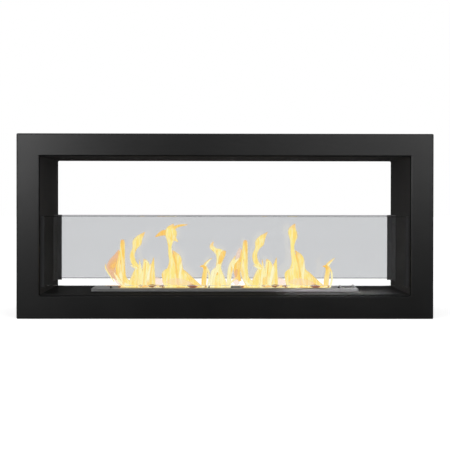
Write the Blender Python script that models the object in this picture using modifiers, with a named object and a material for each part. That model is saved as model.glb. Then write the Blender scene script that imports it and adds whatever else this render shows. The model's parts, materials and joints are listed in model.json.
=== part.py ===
"""A double-sided fireplace: a see-through steel casing, with a glass pane on each side of a spirit burner.

Metres, +Z up, front towards -Y, origin on the ground under the middle of the casing.
"""

from math import cos, pi, radians, sin

import bmesh
import bpy
from mathutils import Matrix, Vector

for old in list(bpy.data.objects):
    bpy.data.objects.remove(old, do_unlink=True)

# Overall size
WIDTH = 0.900
DEPTH = 0.230
HEIGHT = 0.400

# Clearances and helpers that all pieces share
SEAT_GAP = 0.0003
CUT_OVERRUN = 0.003
WELD_DISTANCE = 0.000005
ROUND_SIDES = 8
CORNER_STEPS = 3

# Trim frames, folded from sheet, one on each side
TRIM_BORDER = 0.049
TRIM_RETURN = 0.010
TRIM_SHEET = 0.0015
TRIM_FOLD_RADIUS = 0.0025
TRIM_FOLD_STEPS = 2

# Casing sheets: channels that line the tunnel, and flat panels that close them outside
PANEL_SHEET = 0.0015
PANEL_RECESS = 0.0015
FLOOR_RISE = 0.0025
LIP_DEPTH = 0.014
END_TAB_HEIGHT = 0.012
END_TAB_NOTCH = 0.020

# Welded studs and nuts that hold the trims
STUD_RADIUS = 0.002
STUD_LENGTH = 0.015
STUD_CHAMFER = 0.0005
STUD_HOLE_RADIUS = 0.0024
NUT_ACROSS_FLATS = 0.007
NUT_THICKNESS = 0.0032
NUT_BORE_RADIUS = 0.0023
STUD_WIDTH_SHARES = (-0.3, 0.3)

# Round screw heads are this much narrower at the crown
SCREW_CROWN_SHARE = 0.6

# Glass panes and the extruded holders that take their ends
PANE_THICKNESS = 0.005
PANE_HEIGHT = 0.1515
PANE_END_PLAY = 0.0007
PANE_SIDE_PLAY = 0.0004
PANE_ARRIS = 0.0006
HOLDER_HEIGHT = 0.155
HOLDER_LIFT = 0.0155
HOLDER_SETBACK = 0.016
HOLDER_WALL = 0.0015
HOLDER_OUTER_LIP = 0.0075
HOLDER_FRONT_INNER_LIP = 0.0065
HOLDER_REAR_INNER_LIP = 0.0125
HOLDER_TAB = 0.040
PAD_LENGTH = 0.006
PAD_THICKNESS = 0.001
HOLDER_SCREW_RADIUS = 0.0018
HOLDER_SCREW_LENGTH = 0.008
HOLDER_SCREW_HEAD_RADIUS = 0.0034
HOLDER_SCREW_HEAD_HEIGHT = 0.0018
HOLDER_SCREW_HOLE_RADIUS = 0.0021
HOLDER_SCREW_SHARES = (0.15, 0.85)

# Burner: a tray that hangs in the floor by its flange, and a top plate over it
BURNER_LENGTH = 0.600
BURNER_WIDTH = 0.076
BURNER_CORNER_RADIUS = 0.002
FLANGE_END_LAND = 0.0105
FLANGE_SIDE_LAND = 0.005
TRAY_DEPTH = 0.042
TRAY_SHEET = 0.0012
TRAY_LIP = 0.004
TRAY_PLAY = 0.0013
TOP_PLATE_SHEET = 0.0015
FLAME_SLOT_END_LAND = 0.060
FLAME_SLOT_SIDE_ROOM = 0.006
FLAME_SLOT_WIDTH_SHARE = 2 / 3
FLAME_SLOT_RADIUS = 0.003
WOOL_HEIGHT = 0.028
WOOL_END_PLAY = 0.0045
WOOL_SIDE_PLAY = 0.0015
WOOL_FILLER_GAP = 0.0035
WOOL_EDGE_RADIUS = 0.003

# Damper: a plate under the top plate that slides across the flame slot
DAMPER_END_LAP = 0.0225
DAMPER_SIDE_LAP = 0.0015
DAMPER_OPEN_PLAY = 0.0005
DAMPER_SHEET = 0.0015
DAMPER_PIN_RADIUS = 0.002
DAMPER_PIN_TENON_RADIUS = 0.0012
DAMPER_PIN_TENON_HOLE_RADIUS = 0.0015
DAMPER_PIN_RISE = 0.0045
DAMPER_PIN_CHAMFER = 0.0006
DAMPER_PIN_LAND = 0.018
DAMPER_PIN_PLAY = 0.0003
GUIDE_SHEET = 0.0012
GUIDE_LENGTH = 0.008
GUIDE_LAND = 0.0075

# Filler: a framed opening at the burner's right end, with a hinged lid
FILLER_LENGTH = 0.033
FILLER_SIDE_INSET = 0.004
FILLER_END_INSET = 0.0025
FILLER_BORDER = 0.0053
FILLER_SHEET = 0.0012
FILLER_CORNER_RADIUS = 0.002
FILLER_HOLE_LENGTH = 0.016
FILLER_HOLE_SIDE_LAND = 0.0047
FILLER_HOLE_OFFSET = -0.0005
LID_SHEET = 0.0018
LID_TAB_WIDTH = 0.012
LID_TAB_REACH = 0.0035
LID_TAB_SHEET = 0.0009
HINGE_EYE_RADIUS = 0.0018
HINGE_BORE_RADIUS = 0.00095
HINGE_PIN_RADIUS = 0.0008
HINGE_PIN_HEAD_RADIUS = 0.0014
HINGE_PIN_HEAD_HEIGHT = 0.0006
HINGE_LEAF_SHEET = 0.0009
HINGE_LEAF_REACH = 0.0085
LID_EYE_LENGTH = 0.020
FRAME_EYE_LENGTH = 0.006

# Screws of the burner
BURNER_SCREW_RADIUS = 0.0013
BURNER_SCREW_LENGTH = 0.0055
BURNER_SCREW_HEAD_RADIUS = 0.0024
BURNER_SCREW_HEAD_HEIGHT = 0.0011
BURNER_SCREW_HOLE_RADIUS = 0.0016

# Sizes that follow from those above
OPENING_WIDTH = WIDTH - 2 * TRIM_BORDER
FLOOR_LEVEL = TRIM_BORDER + FLOOR_RISE
CEILING_LEVEL = HEIGHT - TRIM_BORDER
MIDDLE_LEVEL = HEIGHT / 2
SHELL_INSET = PANEL_RECESS + PANEL_SHEET + SEAT_GAP
CAVITY = TRIM_BORDER - SHELL_INSET
CHANNEL_DEPTH = DEPTH - 2 * (TRIM_RETURN + SEAT_GAP)
GROOVE = PANE_THICKNESS + 2 * PANE_SIDE_PLAY
HOLDER_BOTTOM = FLOOR_LEVEL + HOLDER_LIFT
PANE_LENGTH = OPENING_WIDTH - 2 * (SEAT_GAP + HOLDER_WALL + PANE_END_PLAY)
PANE_BOTTOM = HOLDER_BOTTOM + HOLDER_WALL + PAD_THICKNESS + 2 * SEAT_GAP
PANE_INSET = HOLDER_SETBACK + HOLDER_WALL + GROOVE / 2
TRAY_LENGTH = BURNER_LENGTH - 2 * FLANGE_END_LAND
TRAY_WIDTH = BURNER_WIDTH - 2 * FLANGE_SIDE_LAND
FLAME_SLOT_LENGTH = BURNER_LENGTH - 2 * FLAME_SLOT_END_LAND
FLAME_SLOT_WIDTH = FLAME_SLOT_WIDTH_SHARE * (TRAY_WIDTH / 2 - FLAME_SLOT_SIDE_ROOM)
DAMPER_LENGTH = FLAME_SLOT_LENGTH + 2 * DAMPER_END_LAP
DAMPER_WIDTH = FLAME_SLOT_WIDTH + 2 * DAMPER_SIDE_LAP
DAMPER_TRAVEL = (FLAME_SLOT_WIDTH + DAMPER_WIDTH) / 2 + DAMPER_OPEN_PLAY
DAMPER_PIN_SPACING = FLAME_SLOT_LENGTH + 2 * DAMPER_PIN_LAND
GUIDE_SPACING = FLAME_SLOT_LENGTH + 2 * GUIDE_LAND
FLANGE_LEVEL = FLOOR_LEVEL + SEAT_GAP + TRAY_LIP
TOP_PLATE_LEVEL = FLANGE_LEVEL + SEAT_GAP
TOP_FACE_LEVEL = TOP_PLATE_LEVEL + TOP_PLATE_SHEET
FILLER_LEVEL = TOP_FACE_LEVEL + SEAT_GAP
FILLER_FACE_LEVEL = FILLER_LEVEL + FILLER_SHEET
FILLER_CENTRE = (BURNER_LENGTH - FILLER_LENGTH) / 2 - FILLER_END_INSET
FILLER_WIDTH = BURNER_WIDTH - 2 * FILLER_SIDE_INSET
FILLER_HOLE_WIDTH = FILLER_WIDTH - 2 * (FILLER_BORDER + FILLER_HOLE_SIDE_LAND)
WOOL_START = WOOL_END_PLAY - TRAY_LENGTH / 2
WOOL_END = FILLER_CENTRE - FILLER_LENGTH / 2 - WOOL_FILLER_GAP
DAMPER_LEVEL = TOP_PLATE_LEVEL - SEAT_GAP - DAMPER_SHEET
HINGE_LINE = FILLER_CENTRE + (FILLER_LENGTH - FILLER_BORDER) / 2
HINGE_LEVEL = FILLER_FACE_LEVEL + SEAT_GAP + HINGE_EYE_RADIUS

PARTS = bpy.data.collections.new("double_sided_fireplace")
CUTTERS = bpy.data.collections.new("cutters")
bpy.context.scene.collection.children.link(PARTS)
bpy.context.scene.collection.children.link(CUTTERS)


def finish(name, colour, roughness, metallic, alpha=1.0):
    """A plain material with the colour, roughness and metallic value of one finish."""
    material = bpy.data.materials.new(name)
    material.use_nodes = True
    shader = material.node_tree.nodes["Principled BSDF"]
    shader.inputs["Base Color"].default_value = (*colour, 1)
    shader.inputs["Roughness"].default_value = roughness
    shader.inputs["Metallic"].default_value = metallic
    shader.inputs["Alpha"].default_value = alpha
    return material


BLACK_STEEL = finish("satin_black_steel", (0.018, 0.018, 0.018), 0.45, 0.0)
BURNER_STEEL = finish("burner_steel", (0.16, 0.16, 0.16), 0.38, 0.9)
CLEAR_GLASS = finish("clear_glass", (0.95, 0.97, 0.96), 0.02, 0.0, 0.12)
SMOKED_GLASS = finish("smoked_glass", (0.55, 0.57, 0.58), 0.02, 0.0, 0.35)
CERAMIC_FIBRE = finish("ceramic_fibre", (0.82, 0.80, 0.75), 0.95, 0.0)
ZINC_STEEL = finish("zinc_steel", (0.55, 0.55, 0.53), 0.35, 1.0)
BLACK_RUBBER = finish("black_rubber", (0.02, 0.02, 0.02), 0.8, 0.0)


def add_part(name, mesh, material, place=Matrix(), parent=None):
    """Puts a mesh in the scene as one sub-part; its place is in the world, whatever its parent."""
    part = bpy.data.objects.new(name, mesh)
    PARTS.objects.link(part)
    mesh.materials.clear()
    mesh.materials.append(material)
    part.matrix_world = place
    if parent:
        part.parent = parent
        part.matrix_parent_inverse = parent.matrix_world.inverted()
    return part


def add_cutter(name, mesh):
    """A helper solid that only cuts others."""
    cutter = bpy.data.objects.new(name, mesh)
    CUTTERS.objects.link(cutter)
    cutter.hide_render = True
    cutter.display_type = "WIRE"
    return cutter


def cut(part, cutter):
    modifier = part.modifiers.new("cut_" + cutter.name, "BOOLEAN")
    modifier.operation = "DIFFERENCE"
    modifier.object = cutter


def weld_on(part, added):
    modifier = part.modifiers.new("weld_" + added.name, "BOOLEAN")
    modifier.operation = "UNION"
    modifier.object = added


def joint_origin(name, place, parent=None):
    """An empty on a joint's axis, which carries the pieces that move together."""
    empty = bpy.data.objects.new(name, None)
    PARTS.objects.link(empty)
    empty.location = place
    if parent:
        empty.parent = parent
        empty.location = Vector(place) - parent.location
    bpy.context.view_layer.update()
    return empty


def to_mesh(bm, name):
    mesh = bpy.data.meshes.new(name)
    bm.to_mesh(mesh)
    bm.free()
    return mesh


def baked(helper):
    """The evaluated mesh of a helper object, welded and facing outwards; the helper is removed."""
    graph = bpy.context.evaluated_depsgraph_get()
    mesh = bpy.data.meshes.new_from_object(helper.evaluated_get(graph))
    bpy.data.objects.remove(helper)
    bm = bmesh.new()
    bm.from_mesh(mesh)
    bpy.data.meshes.remove(mesh)
    bmesh.ops.remove_doubles(bm, verts=bm.verts, dist=WELD_DISTANCE)
    bmesh.ops.recalc_face_normals(bm, faces=bm.faces)
    return to_mesh(bm, "baked")


def arc(centre, radius, start, end, steps):
    """Points on an arc, in degrees, both ends included."""
    turns = [radians(start + (end - start) * step / steps) for step in range(steps + 1)]
    return [(centre[0] + radius * cos(turn), centre[1] + radius * sin(turn)) for turn in turns]


def circle(centre, radius, sides=ROUND_SIDES):
    return arc(centre, radius, 0, 360, sides)[:-1]


def rounded(length, width, radius, centre=(0, 0), steps=CORNER_STEPS):
    """A rectangle with round corners; a radius of half the width makes a slot with round ends."""
    points = []
    for quarter, (x, y) in enumerate(((1, 1), (-1, 1), (-1, -1), (1, -1))):
        corner = (centre[0] + x * (length / 2 - radius), centre[1] + y * (width / 2 - radius))
        points += arc(corner, radius, 90 * quarter, 90 * quarter + 90, steps)
    return points


def sheet(outlines, thickness):
    """A flat piece that stands on z = 0: the first outline filled, the others left open."""
    curve = bpy.data.curves.new("outline", "CURVE")
    curve.dimensions = "2D"
    curve.fill_mode = "BOTH"
    curve.extrude = thickness / 2
    for outline in outlines:
        spline = curve.splines.new("POLY")
        spline.points.add(len(outline) - 1)
        spline.use_cyclic_u = True
        for point, (x, y) in zip(spline.points, outline):
            point.co = (x, y, 0, 1)
    helper = bpy.data.objects.new("outline", curve)
    CUTTERS.objects.link(helper)
    mesh = baked(helper)
    mesh.transform(Matrix.Translation((0, 0, thickness / 2)))
    return mesh


def turned(profile, sides=ROUND_SIDES):
    """A turned solid from its profile, which runs from the top of the axis down its outer side."""
    bm = bmesh.new()
    points = [bm.verts.new((radius, 0, height)) for radius, height in profile]
    for upper, lower in zip(points, points[1:]):
        bm.edges.new((upper, lower))
    helper = bpy.data.objects.new("profile", to_mesh(bm, "profile"))
    CUTTERS.objects.link(helper)
    screw = helper.modifiers.new("turn", "SCREW")
    screw.steps = sides
    screw.render_steps = sides
    screw.use_merge_vertices = True
    screw.merge_threshold = WELD_DISTANCE
    return baked(helper)


def block(size, centre=(0, 0, 0)):
    bm = bmesh.new()
    bmesh.ops.create_cube(bm, size=1, matrix=Matrix.Translation(centre) @ Matrix.Diagonal((*size, 1)))
    return to_mesh(bm, "block")


def facing(point, direction):
    """A place whose own +Z looks along a direction."""
    turn = Vector(direction).to_track_quat("Z", "Y").to_matrix().to_4x4()
    return Matrix.Translation(point) @ turn


def group(mesh, places):
    """Copies of one mesh at several places, as separate bodies of one mesh."""
    bm = bmesh.new()
    for place in places:
        copy = mesh.copy()
        copy.transform(place)
        bm.from_mesh(copy)
        bpy.data.meshes.remove(copy)
    return to_mesh(bm, "group")


def united(first, *others):
    """One solid from several that overlap."""
    helper = bpy.data.objects.new("united", first)
    CUTTERS.objects.link(helper)
    added = []
    for mesh in others:
        other = bpy.data.objects.new("added", mesh)
        CUTTERS.objects.link(other)
        added.append(other)
        union = helper.modifiers.new("union", "BOOLEAN")
        union.operation = "UNION"
        union.object = other
    mesh = baked(helper)
    for other in added:
        bpy.data.objects.remove(other)
    return mesh


def fastener(radius, length, head_radius, head_height):
    """A round-headed screw whose head sits just over z = 0, with its shank below."""
    top = SEAT_GAP + head_height
    return turned(
        [
            (0, top),
            (head_radius * SCREW_CROWN_SHARE, top),
            (head_radius, SEAT_GAP + head_height / 2),
            (head_radius, SEAT_GAP),
            (radius, SEAT_GAP),
            (radius, -length),
            (0, -length),
        ]
    )


def hole_cutter(name, radius, length, places):
    """Round cutters centred on each place's origin, along its own Z."""
    rod = turned([(0, length / 2), (radius, length / 2), (radius, -length / 2), (0, -length / 2)])
    return add_cutter(name, group(rod, places))


def flat(length, width):
    """An open rectangle that looks up, the start of a folded piece."""
    bm = bmesh.new()
    size = Matrix.Diagonal((length, width, 1, 1))
    bmesh.ops.create_grid(bm, x_segments=1, y_segments=1, size=1 / 2, matrix=size)
    return bm


def edge_near(bm, point):
    target = Vector(point)
    return min(bm.edges, key=lambda edge: (sum((v.co for v in edge.verts), Vector()) / 2 - target).length)


def fold(bm, edges, offset):
    """Grows sheet from free edges by an offset and returns its new free edges."""
    made = bmesh.ops.extrude_edge_only(bm, edges=edges)["geom"]
    ends = {item for item in made if isinstance(item, bmesh.types.BMVert)}
    bmesh.ops.translate(bm, verts=list(ends), vec=offset)
    return [item for item in made if isinstance(item, bmesh.types.BMEdge) and ends.issuperset(item.verts)]


def thicken(part, thickness):
    """Gives an open sheet its thickness on the side away from its face."""
    solid = part.modifiers.new("thickness", "SOLIDIFY")
    solid.thickness = thickness
    solid.offset = -1
    solid.use_even_offset = True
    solid.use_quality_normals = True


def folded_mesh(bm, name):
    bmesh.ops.recalc_face_normals(bm, faces=bm.faces)
    face = min(bm.faces, key=lambda f: abs(f.calc_center_median().z) - abs(f.normal.z))
    if face.normal.z < 0:
        bmesh.ops.reverse_faces(bm, faces=bm.faces)
    return to_mesh(bm, name)


def channel(length, cavity, end_tab):
    """A lining channel: its face on z = 0, walls going down, lips turned in, and tabs at its ends."""
    bm = flat(length, CHANNEL_DEPTH - 2 * END_TAB_NOTCH)
    for side in (-1, 1):
        edge = edge_near(bm, (0, side * (CHANNEL_DEPTH / 2 - END_TAB_NOTCH), 0))
        edges = fold(bm, [edge], (0, side * END_TAB_NOTCH, 0))
        edges = fold(bm, edges, (0, 0, -cavity))
        fold(bm, edges, (0, -side * LIP_DEPTH, 0))
    if end_tab:
        for side in (-1, 1):
            fold(bm, [edge_near(bm, (side * length / 2, 0, 0))], (0, 0, -end_tab))
    return folded_mesh(bm, "channel")


def trim_mesh():
    """A trim frame: a flat border with an outer and an inner return folded back."""
    bm = flat(WIDTH, HEIGHT)
    whole = list(bm.faces)
    bmesh.ops.inset_region(bm, faces=whole, thickness=TRIM_BORDER, use_boundary=True, use_even_offset=True)
    bmesh.ops.delete(bm, geom=whole, context="FACES")
    fold(bm, [edge for edge in bm.edges if edge.is_boundary], (0, 0, -TRIM_RETURN))
    return folded_mesh(bm, "trim")


def add_trim(name, mesh, end):
    turn = Matrix.Rotation(radians(90 + 90 * end), 4, "Z") @ Matrix.Rotation(radians(90), 4, "X")
    trim = add_part(name, mesh, BLACK_STEEL, Matrix.Translation((0, end * DEPTH / 2, MIDDLE_LEVEL)) @ turn)
    bends = trim.modifiers.new("folds", "BEVEL")
    bends.limit_method = "ANGLE"
    bends.angle_limit = radians(60)
    bends.width = TRIM_FOLD_RADIUS
    bends.segments = TRIM_FOLD_STEPS
    thicken(trim, TRIM_SHEET)
    return trim


trim = trim_mesh()
front_trim = add_trim("front_trim", trim, -1)
rear_trim = add_trim("rear_trim", trim, 1)

# Lining channels: two full-height columns, with the ceiling and the slightly raised floor between them
beam_length = OPENING_WIDTH - 2 * SEAT_GAP
column_length = HEIGHT - 2 * SHELL_INSET
left_face = Matrix.Translation((-OPENING_WIDTH / 2, 0, MIDDLE_LEVEL)) @ Matrix.Rotation(radians(90), 4, "Y")
right_face = Matrix.Translation((OPENING_WIDTH / 2, 0, MIDDLE_LEVEL)) @ Matrix.Rotation(radians(-90), 4, "Y")
ceiling_face = Matrix.Translation((0, 0, CEILING_LEVEL)) @ Matrix.Rotation(radians(180), 4, "X")
floor_face = Matrix.Translation((0, 0, FLOOR_LEVEL))
column = channel(column_length, CAVITY, 0)
left_liner = add_part("left_liner", column, BLACK_STEEL, left_face)
right_liner = add_part("right_liner", column.copy(), BLACK_STEEL, right_face)
ceiling_mesh = channel(beam_length, CAVITY, END_TAB_HEIGHT)
ceiling_liner = add_part("ceiling_liner", ceiling_mesh, BLACK_STEEL, ceiling_face)
floor_mesh = channel(beam_length, CAVITY + FLOOR_RISE, END_TAB_HEIGHT)
floor_panel = add_part("floor_panel", floor_mesh, BLACK_STEEL, floor_face)
for liner in (left_liner, right_liner, ceiling_liner, floor_panel):
    thicken(liner, PANEL_SHEET)

# Outer panels, set back a little from the edge of the trims
outer_width = WIDTH - 2 * PANEL_RECESS
flat_panel = (outer_width, CHANNEL_DEPTH, PANEL_SHEET)
side_panel = (PANEL_SHEET, CHANNEL_DEPTH, column_length)
panel_centre = PANEL_RECESS + PANEL_SHEET / 2
add_part("outer_top_panel", block(flat_panel, (0, 0, HEIGHT - panel_centre)), BLACK_STEEL)
add_part("outer_bottom_panel", block(flat_panel, (0, 0, panel_centre)), BLACK_STEEL)
add_part("outer_left_panel", block(side_panel, (panel_centre - WIDTH / 2, 0, MIDDLE_LEVEL)), BLACK_STEEL)
add_part("outer_right_panel", block(side_panel, (WIDTH / 2 - panel_centre, 0, MIDDLE_LEVEL)), BLACK_STEEL)


def stud_places(end, depth):
    """Places behind one trim, looking into the casing, at a distance from the middle plane."""
    levels = (TRIM_BORDER / 2, HEIGHT - TRIM_BORDER / 2)
    spots = [(share * OPENING_WIDTH, level) for share in STUD_WIDTH_SHARES for level in levels]
    return [facing((x, end * depth, z), (0, -end, 0)) for x, z in spots]


def holder_screw_places():
    """Places on the tabs of the glass holders, looking into the tunnel."""
    across = OPENING_WIDTH / 2 - SEAT_GAP - HOLDER_WALL
    along = DEPTH / 2 - HOLDER_SETBACK - 2 * HOLDER_WALL - GROOVE - HOLDER_TAB / 2
    return [
        facing((side * across, end * along, HOLDER_BOTTOM + share * HOLDER_HEIGHT), (-side, 0, 0))
        for side in (-1, 1)
        for end in (-1, 1)
        for share in HOLDER_SCREW_SHARES
    ]


# Studs welded behind the trims, and their nuts behind the walls of the channels
stud = turned(
    [
        (0, STUD_LENGTH),
        (STUD_RADIUS - STUD_CHAMFER, STUD_LENGTH),
        (STUD_RADIUS, STUD_LENGTH - STUD_CHAMFER),
        (STUD_RADIUS, 0),
        (0, 0),
    ]
)
nut_outline = circle((0, 0), NUT_ACROSS_FLATS / 2 / cos(pi / 6), 6)
nut = sheet([nut_outline, circle((0, 0), NUT_BORE_RADIUS)], NUT_THICKNESS)
stud_root = (DEPTH - TRIM_SHEET) / 2 - TRIM_SHEET / 4
nut_seat = CHANNEL_DEPTH / 2 - PANEL_SHEET - SEAT_GAP
stud_hole_length = 2 * (PANEL_SHEET + CUT_OVERRUN)
for end, trim, name in ((-1, front_trim, "front"), (1, rear_trim, "rear")):
    weld_on(trim, add_cutter(name + "_studs", group(stud, stud_places(end, stud_root))))
    stud_holes = hole_cutter(
        name + "_stud_holes", STUD_HOLE_RADIUS, stud_hole_length, stud_places(end, CHANNEL_DEPTH / 2)
    )
    cut(ceiling_liner, stud_holes)
    cut(floor_panel, stud_holes)
    for number, place in enumerate(stud_places(end, nut_seat), 1):
        add_part(f"{name}_trim_nut_{number}", nut.copy(), ZINC_STEEL, place)

# Screws through the tabs of the glass holders into the columns
screw_holes = hole_cutter(
    "screw_holes", HOLDER_SCREW_HOLE_RADIUS, 2 * HOLDER_SCREW_LENGTH, holder_screw_places()
)
for liner in (left_liner, right_liner):
    cut(liner, screw_holes)
holder_screw = fastener(
    HOLDER_SCREW_RADIUS, HOLDER_SCREW_LENGTH, HOLDER_SCREW_HEAD_RADIUS, HOLDER_SCREW_HEAD_HEIGHT
)
for number, place in enumerate(holder_screw_places(), 1):
    add_part(f"holder_screw_{number}", holder_screw.copy(), BLACK_STEEL, place)


def holder_mesh(side, end, inner_lip):
    """An extruded glass holder: a base, two lips round the pane's end, a screw tab and a foot stop."""
    inner = HOLDER_WALL + GROOVE
    back = inner + HOLDER_WALL
    section = [
        (0, 0),
        (HOLDER_OUTER_LIP, 0),
        (HOLDER_OUTER_LIP, HOLDER_WALL),
        (HOLDER_WALL, HOLDER_WALL),
        (HOLDER_WALL, inner),
        (inner_lip, inner),
        (inner_lip, back),
        (HOLDER_WALL, back),
        (HOLDER_WALL, back + HOLDER_TAB),
        (0, back + HOLDER_TAB),
    ]
    extrusion = sheet([[(-side * x, -end * y) for x, y in section]], HOLDER_HEIGHT)
    reach = HOLDER_OUTER_LIP - HOLDER_WALL / 2
    centre = (-side * (HOLDER_WALL + reach) / 2, -end * (HOLDER_WALL + GROOVE / 2), HOLDER_WALL / 2)
    return united(extrusion, block((reach, GROOVE + HOLDER_WALL, HOLDER_WALL), centre))


# Glass holders and panes; the rear holders have a wider inner lip, which shows beside the smoked pane
for side, side_name in ((-1, "left"), (1, "right")):
    for end, end_name, inner_lip in (
        (-1, "front", HOLDER_FRONT_INNER_LIP),
        (1, "rear", HOLDER_REAR_INNER_LIP),
    ):
        corner = (side * (OPENING_WIDTH / 2 - SEAT_GAP), end * (DEPTH / 2 - HOLDER_SETBACK), HOLDER_BOTTOM)
        holder_name = end_name + "_" + side_name + "_glass_holder"
        holder_body = holder_mesh(side, end, inner_lip)
        holder = add_part(holder_name, holder_body, BLACK_STEEL, Matrix.Translation(corner))
        cut(holder, screw_holes)
        pad_x = OPENING_WIDTH / 2 - 2 * SEAT_GAP - HOLDER_WALL - PAD_LENGTH / 2
        pad_z = HOLDER_BOTTOM + HOLDER_WALL + SEAT_GAP + PAD_THICKNESS / 2
        pad_place = Matrix.Translation((side * pad_x, end * (DEPTH / 2 - PANE_INSET), pad_z))
        pad_mesh = block((PAD_LENGTH, PANE_THICKNESS, PAD_THICKNESS))
        add_part(end_name + "_" + side_name + "_glass_pad", pad_mesh, BLACK_RUBBER, pad_place)

for end, name, glass in ((-1, "front_glass", CLEAR_GLASS), (1, "rear_glass", SMOKED_GLASS)):
    foot = (0, end * (DEPTH / 2 - PANE_INSET), PANE_BOTTOM)
    lift = joint_origin(name + "_lift", foot)
    pane_mesh = block((PANE_LENGTH, PANE_THICKNESS, PANE_HEIGHT), (0, 0, PANE_HEIGHT / 2))
    pane = add_part(name, pane_mesh, glass, Matrix.Translation(foot), lift)
    arris = pane.modifiers.new("arris", "BEVEL")
    arris.width = PANE_ARRIS
    arris.segments = 1

# Burner tray, hanging by its flange in a cut-out of the floor
well_size = (
    TRAY_LENGTH + 2 * (TRAY_SHEET + TRAY_PLAY),
    TRAY_WIDTH + 2 * (TRAY_SHEET + TRAY_PLAY),
    2 * (PANEL_SHEET + CUT_OVERRUN),
)
cut(floor_panel, add_cutter("burner_well", block(well_size, (0, 0, FLOOR_LEVEL))))

burner_lift = joint_origin("burner_lift", (0, 0, FLOOR_LEVEL))
bm = flat(TRAY_LENGTH, TRAY_WIDTH)
walls = fold(bm, [edge for edge in bm.edges if edge.is_boundary], (0, 0, TRAY_DEPTH))
flange = fold(bm, walls, (0, 0, 0))
for vert in {vert for edge in flange for vert in edge.verts}:
    vert.co.x *= BURNER_LENGTH / TRAY_LENGTH
    vert.co.y *= BURNER_WIDTH / TRAY_WIDTH
fold(bm, flange, (0, 0, -TRAY_LIP))
tray_place = Matrix.Translation((0, 0, FLANGE_LEVEL - TRAY_DEPTH))
burner_tray = add_part("burner_tray", folded_mesh(bm, "tray"), BURNER_STEEL, tray_place, burner_lift)
thicken(burner_tray, TRAY_SHEET)

# Burner screws: two through the plate and flange at the left end, four through the filler frame
screw_side = (FILLER_WIDTH - FILLER_BORDER) / 2
plate_spots = [(-HINGE_LINE, side * screw_side) for side in (-1, 1)]
frame_ends = (2 * FILLER_CENTRE - HINGE_LINE, HINGE_LINE)
frame_spots = [(x, side * screw_side) for x in frame_ends for side in (-1, 1)]
burner_screw = fastener(
    BURNER_SCREW_RADIUS, BURNER_SCREW_LENGTH, BURNER_SCREW_HEAD_RADIUS, BURNER_SCREW_HEAD_HEIGHT
)
screw_places = [Matrix.Translation((*spot, TOP_FACE_LEVEL)) for spot in plate_spots]
screw_places += [Matrix.Translation((*spot, FILLER_FACE_LEVEL)) for spot in frame_spots]
for number, place in enumerate(screw_places, 1):
    add_part(f"burner_screw_{number}", burner_screw.copy(), ZINC_STEEL, place, burner_lift)
flange_spots = [Matrix.Translation((*spot, FLANGE_LEVEL)) for spot in plate_spots + frame_spots[2:]]
flange_holes = hole_cutter(
    "flange_holes", BURNER_SCREW_HOLE_RADIUS, 2 * (TRAY_SHEET + SEAT_GAP), flange_spots
)
cut(burner_tray, flange_holes)

# Burner top plate, with the flame slot, two cross slots for the damper pins and the filler opening
pin_slot_width = 2 * (DAMPER_PIN_RADIUS + DAMPER_PIN_PLAY)
top_outlines = [
    rounded(BURNER_LENGTH, BURNER_WIDTH, BURNER_CORNER_RADIUS),
    rounded(FLAME_SLOT_LENGTH, FLAME_SLOT_WIDTH, FLAME_SLOT_RADIUS),
    rounded(
        FILLER_HOLE_LENGTH, FILLER_HOLE_WIDTH, FILLER_CORNER_RADIUS, (FILLER_CENTRE + FILLER_HOLE_OFFSET, 0)
    ),
]
for side in (-1, 1):
    slot_centre = (side * DAMPER_PIN_SPACING / 2, -DAMPER_TRAVEL / 2)
    slot = rounded(pin_slot_width, DAMPER_TRAVEL + pin_slot_width, pin_slot_width / 2, slot_centre)
    top_outlines.append(slot)
for spot in plate_spots + frame_spots:
    top_outlines.append(circle(spot, BURNER_SCREW_HOLE_RADIUS))
top_place = Matrix.Translation((0, 0, TOP_PLATE_LEVEL))
add_part("burner_top", sheet(top_outlines, TOP_PLATE_SHEET), BURNER_STEEL, top_place, burner_lift)

# Ceramic wool that holds the fuel, lying in the tray clear of the filler
wool_size = (WOOL_END - WOOL_START, TRAY_WIDTH - 2 * WOOL_SIDE_PLAY, WOOL_HEIGHT)
wool_centre = (WOOL_START + WOOL_END) / 2
wool_place = Matrix.Translation((wool_centre, 0, FLANGE_LEVEL - TRAY_DEPTH + SEAT_GAP))
wool_mesh = block(wool_size, (0, 0, WOOL_HEIGHT / 2))
wool = add_part("ceramic_wool", wool_mesh, CERAMIC_FIBRE, wool_place, burner_lift)
wool_edges = wool.modifiers.new("edges", "BEVEL")
wool_edges.width = WOOL_EDGE_RADIUS
wool_edges.segments = 2

# Damper guides: two stirrups under the top plate that carry the damper's ends
STAND_ALONG_X = Matrix.Rotation(radians(90), 4, "Z") @ Matrix.Rotation(radians(90), 4, "X")
inside = (DAMPER_WIDTH + DAMPER_TRAVEL) / 2 + SEAT_GAP
outside = inside + GUIDE_SHEET
guide_height = TOP_PLATE_LEVEL - DAMPER_LEVEL + GUIDE_SHEET
stirrup = [
    (-outside, 0),
    (outside, 0),
    (outside, guide_height),
    (inside, guide_height),
    (inside, GUIDE_SHEET),
    (-inside, GUIDE_SHEET),
    (-inside, guide_height),
    (-outside, guide_height),
]
guide_level = DAMPER_LEVEL - SEAT_GAP - GUIDE_SHEET
for side, name in ((-1, "left_damper_guide"), (1, "right_damper_guide")):
    corner = (side * GUIDE_SPACING / 2 - GUIDE_LENGTH / 2, -DAMPER_TRAVEL / 2, guide_level)
    guide_place = Matrix.Translation(corner) @ STAND_ALONG_X
    add_part(name, sheet([stirrup], GUIDE_LENGTH), BURNER_STEEL, guide_place, burner_lift)

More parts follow.
